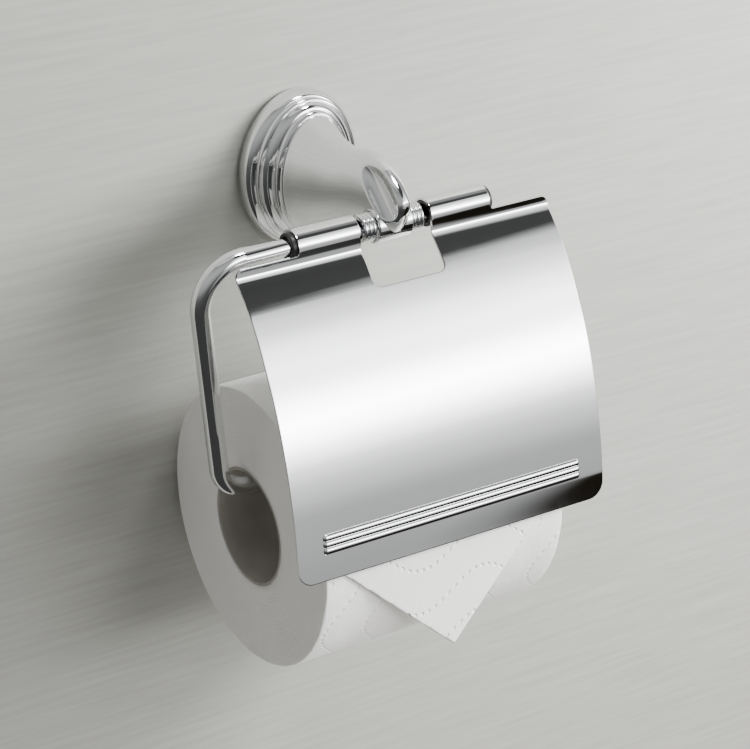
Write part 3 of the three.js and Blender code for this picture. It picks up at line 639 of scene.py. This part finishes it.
inset = np.stack([-edge_dir[:, 1], edge_dir[:, 0]], 1)
area2 = float(np.sum(fine[:, 0] * nxt[:, 1] - nxt[:, 0] * fine[:, 1]))
inset *= 1 if area2 > 0 else -1

def inside_plate(pts, margin):
    u, s = pts[:, 0], pts[:, 1]
    hit = np.zeros(len(pts), bool)
    for (x0, y0), (x1, y1) in zip(fine, nxt):
        cross = ((y0 > s) != (y1 > s)) & (u < (x1 - x0) * (s - y0) / (y1 - y0 + 1e-12) + x0)
        hit ^= cross
    keep = np.ones(len(pts), bool)
    for i in range(0, len(pts), 4000):
        d = np.min(np.hypot(pts[i:i + 4000, None, 0] - fine[None, :, 0],
                            pts[i:i + 4000, None, 1] - fine[None, :, 1]), axis=1)
        keep[i:i + 4000] = d > margin
    return hit & keep

rows = list(np.arange(0.5, wing_s - 0.4, 0.5))
rows += list(np.arange(wing_s, wing_s + 9, 0.45))
rows += list(np.arange(wing_s + 9.3, rib_s - 4.6, 1.2))
rows += list(np.arange(rib_s - 4.4, rib_s + 4.4, 0.17))
rows += list(np.arange(rib_s + 5.0, total, 1.2))
cols = sorted(list(np.arange(-63.2, 63.3, 1.58)) + [sgn * c for sgn in (-1, 1) for c in
              (51.9, 52.3, 52.6, 52.9, 53.15, 53.35, 53.5, 53.7)])
grid = np.array([(u, s) for s in rows for u in cols])
grid = grid[inside_plate(grid, 0.75)]
near = fine + inset * 0.35
loop = len(fine)
points = [Vector(p) for p in fine] + [Vector(p) for p in near] + [Vector(p) for p in grid]
edges = [(i, (i + 1) % loop) for i in range(loop)]
pts2, _, tri, *_ = delaunay_2d_cdt(points, edges, [list(range(loop))], 1, 1e-5)
plate = mesh_object("cover", [plate_point(p.x, p.y) for p in pts2], [tuple(t) for t in tri])
probe = plate.data.polygons[len(tri) // 2]
if probe.normal.y > 0:
    plate.data.flip_normals()
thick = plate.modifiers.new("gauge", "SOLIDIFY")
thick.thickness = plate_t * MM
thick.offset = 0
thick.use_rim = True
edge_round = plate.modifiers.new("edge", "BEVEL")
edge_round.width = 0.22 * MM
edge_round.segments = 3
edge_round.limit_method = "ANGLE"
edge_round.angle_limit = math.radians(55)
bpy.context.view_layer.update()
plate_mesh = bpy.data.meshes.new_from_object(plate.evaluated_get(bpy.context.evaluated_depsgraph_get()))
plate.modifiers.clear()
plate.data = plate_mesh
plate.data.materials.append(chrome)
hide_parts("cover_plate")
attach(plate, "cover")

# ---------------------------------------------------------------- core tube
# A tube wound from strips of grey board, with the fine step of the seam running round it.
core_r, core_wall, roll_left, roll_len = 21.9, 1.2, -52.0, 100.0
core_in = core_r - core_wall
roll_y, roll_z = in_hanger(0, hang)[1], in_hanger(0, hang)[2] + rod_radius + 0.3 - core_in
roll_right, roll_r = roll_left + roll_len, 51.5

board = bpy.data.materials.new("wound_board")
board.use_nodes = True
nt = board.node_tree
bsdf = nt.nodes["Principled BSDF"]
bsdf.inputs["Roughness"].default_value = 0.88
tc = nt.nodes.new("ShaderNodeTexCoord")
sep = nt.nodes.new("ShaderNodeSeparateXYZ")
fibre = nt.nodes.new("ShaderNodeTexNoise")
fibre.inputs["Scale"].default_value = 900
fibre.inputs["Detail"].default_value = 6
cloud = nt.nodes.new("ShaderNodeTexNoise")
cloud.inputs["Scale"].default_value = 60
wind = nt.nodes.new("ShaderNodeMath")
wind.operation = "MULTIPLY_ADD"
wind.inputs[1].default_value = 22.0
lap = nt.nodes.new("ShaderNodeMath")
lap.operation = "FRACT"
seam = nt.nodes.new("ShaderNodeValToRGB")
seam.color_ramp.elements[0].position = 0.0
seam.color_ramp.elements[0].color = (0, 0, 0, 1)
seam.color_ramp.elements[1].position = 0.05
seam.color_ramp.elements[1].color = (1, 1, 1, 1)
tint = nt.nodes.new("ShaderNodeValToRGB")
tint.color_ramp.elements[0].color = (0.24, 0.225, 0.20, 1)
tint.color_ramp.elements[1].color = (0.40, 0.38, 0.35, 1)
mixer = nt.nodes.new("ShaderNodeMath")
mixer.operation = "ADD"
bump = nt.nodes.new("ShaderNodeBump")
bump.inputs["Distance"].default_value = 0.0002
nt.links.new(tc.outputs["UV"], sep.inputs["Vector"])
nt.links.new(tc.outputs["Object"], fibre.inputs["Vector"])
nt.links.new(tc.outputs["Object"], cloud.inputs["Vector"])
nt.links.new(sep.outputs["Y"], wind.inputs[0])
nt.links.new(sep.outputs["X"], wind.inputs[2])
nt.links.new(wind.outputs["Value"], lap.inputs[0])
nt.links.new(lap.outputs["Value"], seam.inputs["Fac"])
nt.links.new(cloud.outputs["Fac"], tint.inputs["Fac"])
nt.links.new(tint.outputs["Color"], bsdf.inputs["Base Color"])
nt.links.new(fibre.outputs["Fac"], mixer.inputs[0])
nt.links.new(seam.outputs["Color"], mixer.inputs[1])
nt.links.new(mixer.outputs["Value"], bump.inputs["Height"])
nt.links.new(bump.outputs["Normal"], bsdf.inputs["Normal"])

def unrolled_map(thing):
    """A map with the turn about the roll's axis across and the place along X upwards."""
    layer = thing.data.uv_layers.new(name="unrolled")
    for poly in thing.data.polygons:
        base = None
        for li in poly.loop_indices:
            co = thing.data.vertices[thing.data.loops[li].vertex_index].co
            q = math.atan2(co.z - roll_z * MM, co.y - roll_y * MM) / (2 * math.pi)
            if base is None:
                base = q
            elif q - base > 0.5:
                q -= 1
            elif base - q > 0.5:
                q += 1
            layer.data[li].uv = (q, co.x)

core_profile = [(core_in, x) for x in np.linspace(roll_left + 0.1, roll_right - 0.1, 26)]
core_profile += [(core_in + 0.1, roll_right), (core_r - 0.15, roll_right), (core_r - 0.05, roll_right - 0.1),
                 (core_r - 0.05, roll_left + 0.1), (core_r - 0.15, roll_left), (core_in + 0.1, roll_left)]
cv, cf = turned(core_profile, (roll_y, roll_z), 128)
core = mesh_object("core", cv, cf)
face_out(core)
unrolled_map(core)
core.data.materials.append(board)
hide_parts("core_tube")
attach(core, "core")

# ---------------------------------------------------------------- paper roll
# Soft two-ply tissue wound on the core. Its cut ends show the fine layers, its outer layer is
# embossed with rows of dots, and its edges are slightly crushed.
def dot_rows():
    """Small pressed dots in rows that follow a wave, from a map in metres."""
    group = bpy.data.node_groups.new("dot_rows", "ShaderNodeTree")
    face = group.interface
    face.new_socket("Vector", in_out="INPUT", socket_type="NodeSocketVector")
    face.new_socket("Spacing", in_out="INPUT", socket_type="NodeSocketFloat").default_value = 0.003
    face.new_socket("Height", in_out="OUTPUT", socket_type="NodeSocketFloat")
    gi, go = group.nodes.new("NodeGroupInput"), group.nodes.new("NodeGroupOutput")
    def math_node(op, a=None, b=None):
        n = group.nodes.new("ShaderNodeMath")
        n.operation = op
        for i, v in enumerate((a, b)):
            if v is None:
                continue
            if isinstance(v, (int, float)):
                n.inputs[i].default_value = v
            else:
                group.links.new(v, n.inputs[i])
        return n.outputs["Value"]
    sep = group.nodes.new("ShaderNodeSeparateXYZ")
    group.links.new(gi.outputs["Vector"], sep.inputs["Vector"])
    a = math_node("DIVIDE", sep.outputs["X"], gi.outputs["Spacing"])
    b = math_node("DIVIDE", sep.outputs["Y"], gi.outputs["Spacing"])
    wave = math_node("MULTIPLY", math_node("SINE", math_node("MULTIPLY", a, 0.35)), 2.2)
    b2 = math_node("ADD", b, wave)
    row_phase = math_node("FRACT", math_node("MULTIPLY", b2, 0.16))
    row = math_node("ABSOLUTE", math_node("SUBTRACT", row_phase, 0.5))
    row_far = math_node("MULTIPLY", row, 6.25)
    col = math_node("SUBTRACT", math_node("FRACT", a), 0.5)
    col_squared = math_node("POWER", math_node("ABSOLUTE", col), 2.0)
    far = math_node("SQRT", math_node("ADD", math_node("POWER", row_far, 2.0), col_squared))
    dot = group.nodes.new("ShaderNodeMapRange")
    dot.interpolation_type = "SMOOTHSTEP"
    dot.inputs["From Min"].default_value = 0.34
    dot.inputs["From Max"].default_value = 0.12
    group.links.new(far, dot.inputs["Value"])
    group.links.new(dot.outputs["Result"], go.inputs["Height"])
    return group

dots = dot_rows()

def tissue(name, layered, dot_depth):
    mat = bpy.data.materials.new(name)
    mat.use_nodes = True
    nt = mat.node_tree
    ln = nt.links.new
    bsdf = nt.nodes["Principled BSDF"]
    bsdf.inputs["Roughness"].default_value = 0.92
    bsdf.inputs["Specular IOR Level"].default_value = 0.25
    bsdf.inputs["Subsurface Weight"].default_value = 0.12
    bsdf.inputs["Subsurface Radius"].default_value = (0.004, 0.004, 0.0038)
    bsdf.inputs["Sheen Weight"].default_value = 0.15
    tc = nt.nodes.new("ShaderNodeTexCoord")
    fuzz = nt.nodes.new("ShaderNodeTexNoise")
    fuzz.inputs["Scale"].default_value = 1500
    fuzz.inputs["Detail"].default_value = 6
    soft = nt.nodes.new("ShaderNodeTexNoise")
    soft.inputs["Scale"].default_value = 55
    soft.inputs["Detail"].default_value = 3
    tint = nt.nodes.new("ShaderNodeValToRGB")
    tint.color_ramp.elements[0].color = (0.80, 0.79, 0.77, 1)
    tint.color_ramp.elements[1].color = (0.88, 0.875, 0.86, 1)
    ln(tc.outputs["Object"], fuzz.inputs["Vector"])
    ln(tc.outputs["Object"], soft.inputs["Vector"])
    ln(soft.outputs["Fac"], tint.inputs["Fac"])
    ln(tint.outputs["Color"], bsdf.inputs["Base Color"])
    stamp = nt.nodes.new("ShaderNodeGroup")
    stamp.node_tree = dots
    stamp.inputs["Spacing"].default_value = 0.0028
    ln(tc.outputs["UV"], stamp.inputs["Vector"])
    low = nt.nodes.new("ShaderNodeBump")
    low.inputs["Distance"].default_value = dot_depth
    low.invert = True
    ln(stamp.outputs["Height"], low.inputs["Height"])
    fine_bump = nt.nodes.new("ShaderNodeBump")
    fine_bump.inputs["Distance"].default_value = 0.00006
    ln(fuzz.outputs["Fac"], fine_bump.inputs["Height"])
    ln(low.outputs["Normal"], fine_bump.inputs["Normal"])
    last = fine_bump
    if layered:
        centre = nt.nodes.new("ShaderNodeMapping")
        centre.inputs["Location"].default_value = (0, -roll_y * MM, -roll_z * MM)
        flat = nt.nodes.new("ShaderNodeVectorMath")
        flat.operation = "MULTIPLY"
        flat.inputs[1].default_value = (0, 1, 1)
        far = nt.nodes.new("ShaderNodeVectorMath")
        far.operation = "LENGTH"
        wobble = nt.nodes.new("ShaderNodeMath")
        wobble.operation = "MULTIPLY_ADD"
        wobble.inputs[1].default_value = 0.0016
        layers = nt.nodes.new("ShaderNodeMath")
        layers.operation = "MULTIPLY"
        layers.inputs[1].default_value = 9000
        ridge = nt.nodes.new("ShaderNodeMath")
        ridge.operation = "SINE"
        coil = nt.nodes.new("ShaderNodeBump")
        coil.inputs["Distance"].default_value = 0.00007
        ln(tc.outputs["Object"], centre.inputs["Vector"])
        ln(centre.outputs["Vector"], flat.inputs[0])
        ln(flat.outputs["Vector"], far.inputs[0])
        ln(soft.outputs["Fac"], wobble.inputs[0])
        ln(far.outputs["Value"], wobble.inputs[2])
        ln(wobble.outputs["Value"], layers.inputs[0])
        ln(layers.outputs["Value"], ridge.inputs[0])
        ln(ridge.outputs["Value"], coil.inputs["Height"])
        ln(fine_bump.outputs["Normal"], coil.inputs["Normal"])
        last = coil
    ln(last.outputs["Normal"], bsdf.inputs["Normal"])
    return mat

wound_paper = tissue("wound_tissue", True, 0.00025)
leaf_paper = tissue("leaf_tissue", False, 0.00030)
sides_of_roll = 224
edge = [(roll_r - 1.0 + 1.0 * math.sin(t), 1.0 - 1.0 * math.cos(t)) for t in np.linspace(0, math.pi / 2, 7)]
roll_profile = [(r, roll_left) for r in np.linspace(core_r, roll_r - 1.0, 12)[:-1]]
roll_profile += [(r, roll_left + x) for r, x in edge]
roll_profile += [(roll_r, x) for x in np.linspace(roll_left + 4, roll_right - 4, 24)]
roll_profile += [(r, roll_right - x) for r, x in reversed(edge)]
roll_profile += [(r, roll_right) for r in np.linspace(roll_r - 1.0, core_r, 12)[1:]]
pv, pf = turned(roll_profile, (roll_y, roll_z), sides_of_roll)
shaped = []
for x, y, z in pv:
    r = math.hypot(y - roll_y, z - roll_z)
    q = math.atan2(z - roll_z, y - roll_y)
    part = (r - core_r) / (roll_r - core_r)
    dip = part * (0.16 + 0.10 * math.sin(2 * q + 0.6) + 0.06 * math.sin(5 * q + x * 0.05))
    bulge = part * (1 - part) * 0.5 * math.sin(q * 3 + 1.0) * 0.35
    shrink = (r - dip) / r if r > 0 else 1
    end = -1 if x < roll_left + 0.5 else (1 if x > roll_right - 0.5 else 0)
    shaped.append((x - end * abs(bulge), roll_y + (y - roll_y) * shrink, roll_z + (z - roll_z) * shrink))
roll = mesh_object("tissue_roll", shaped, pf)
face_out(roll)
unrolled_map(roll)
for item in roll.data.uv_layers["unrolled"].data:
    item.uv = (item.uv[0] * 2 * math.pi * roll_r * MM, item.uv[1])
roll.data.materials.append(wound_paper)
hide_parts("paper_roll")
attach(roll, "paper")

# ---------------------------------------------------------------- loose leaf
# The last leaf of the roll hangs at the front. Its two lower corners are folded back behind
# it, so that it ends in a point.
leaf_l, leaf_r = roll_left + 0.5, roll_right - 0.5
tip_x, tip_z, slope_l, slope_r, leaf_arc = 1.6, -147.5, 0.9, 1.2, math.radians(50)
leaf_radius = roll_r + 0.35
wrap_len = leaf_arc * leaf_radius
leaf_len = wrap_len + roll_z - tip_z
fold_l, fold_r = (tip_x - leaf_l) * slope_l, (leaf_r - tip_x) * slope_r

def leaf_place(u, s, behind):
    """A point of the leaf: u along the roll, s down it, and how far behind its face."""
    if s < wrap_len:
        q = math.pi - leaf_arc + s / leaf_radius
        n = (math.cos(q), math.sin(q))
        y, z = roll_y + leaf_radius * n[0], roll_z + leaf_radius * n[1]
    else:
        n = (-1.0, 0.0)
        y, z = roll_y - leaf_radius, roll_z - (s - wrap_len)
    loose = max(0.0, min(1.0, (s - wrap_len) / 25))
    wave = loose * (0.10 * math.sin(u * 0.09 + s * 0.05) + 0.05 * math.sin(u * 0.23 - s * 0.11))
    out = wave - behind
    return (u, y + n[0] * out, z + n[1] * out)

def folded(u, s):
    """Folds the two lower corners back over the slanting lines."""
    tip = (tip_x, leaf_len)
    for a, b in ((tip, (leaf_l, leaf_len - fold_l)), (tip, (leaf_r, leaf_len - fold_r))):
        dx, ds = b[0] - a[0], b[1] - a[1]
        n = math.hypot(dx, ds)
        dx, ds = dx / n, ds / n
        nx, ns = ds, -dx
        if ns > 0:
            nx, ns = -nx, -ns
        side = (u - a[0]) * nx + (s - a[1]) * ns
        if side < -1e-6 and (u - tip_x) * (b[0] - tip_x) >= 0:
            lift = 0.16 * min(1.0, -side / 0.5)
            return u - 2 * side * nx, s - 2 * side * ns, lift
    return u, s, 0.0

border = [(leaf_l, 0.0), (leaf_r, 0.0), (leaf_r, leaf_len - fold_r), (leaf_r, leaf_len), (tip_x, leaf_len),
          (leaf_l, leaf_len), (leaf_l, leaf_len - fold_l)]
flat_pts, flat_edges = [], []
def rule(a, b):
    n = max(1, int(math.hypot(b[0] - a[0], b[1] - a[1]) / 0.8))
    first = len(flat_pts)
    for i in range(n + 1):
        flat_pts.append(Vector((a[0] + (b[0] - a[0]) * i / n, a[1] + (b[1] - a[1]) * i / n)))
    flat_edges.extend((first + i, first + i + 1) for i in range(n))
for a, b in zip(border, border[1:] + border[:1]):
    rule(a, b)
rule(border[4], border[2])
rule(border[4], border[6])
flat_pts += [Vector((u, s)) for s in np.arange(0.6, leaf_len - 0.3, 0.8)
             for u in np.arange(leaf_l + 0.6, leaf_r - 0.3, 0.8)]
out_pts, _, out_tri, *_ = delaunay_2d_cdt(flat_pts, flat_edges, [], 0, 1e-4)
leaf_verts = [leaf_place(*folded(p.x, p.y)) for p in out_pts]
leaf = mesh_object("leaf", leaf_verts, [tuple(t) for t in out_tri])
layer = leaf.data.uv_layers.new(name="flat")
for poly in leaf.data.polygons:
    for li in poly.loop_indices:
        p = out_pts[leaf.data.loops[li].vertex_index]
        layer.data[li].uv = (p.x * MM, p.y * MM)
if leaf.data.polygons[0].normal.y > 0:
    leaf.data.flip_normals()
ply = leaf.modifiers.new("ply", "SOLIDIFY")
ply.thickness = 0.10 * MM
ply.offset = 0
leaf.data.materials.append(leaf_paper)
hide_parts("loose_leaf")
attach(leaf, "core")
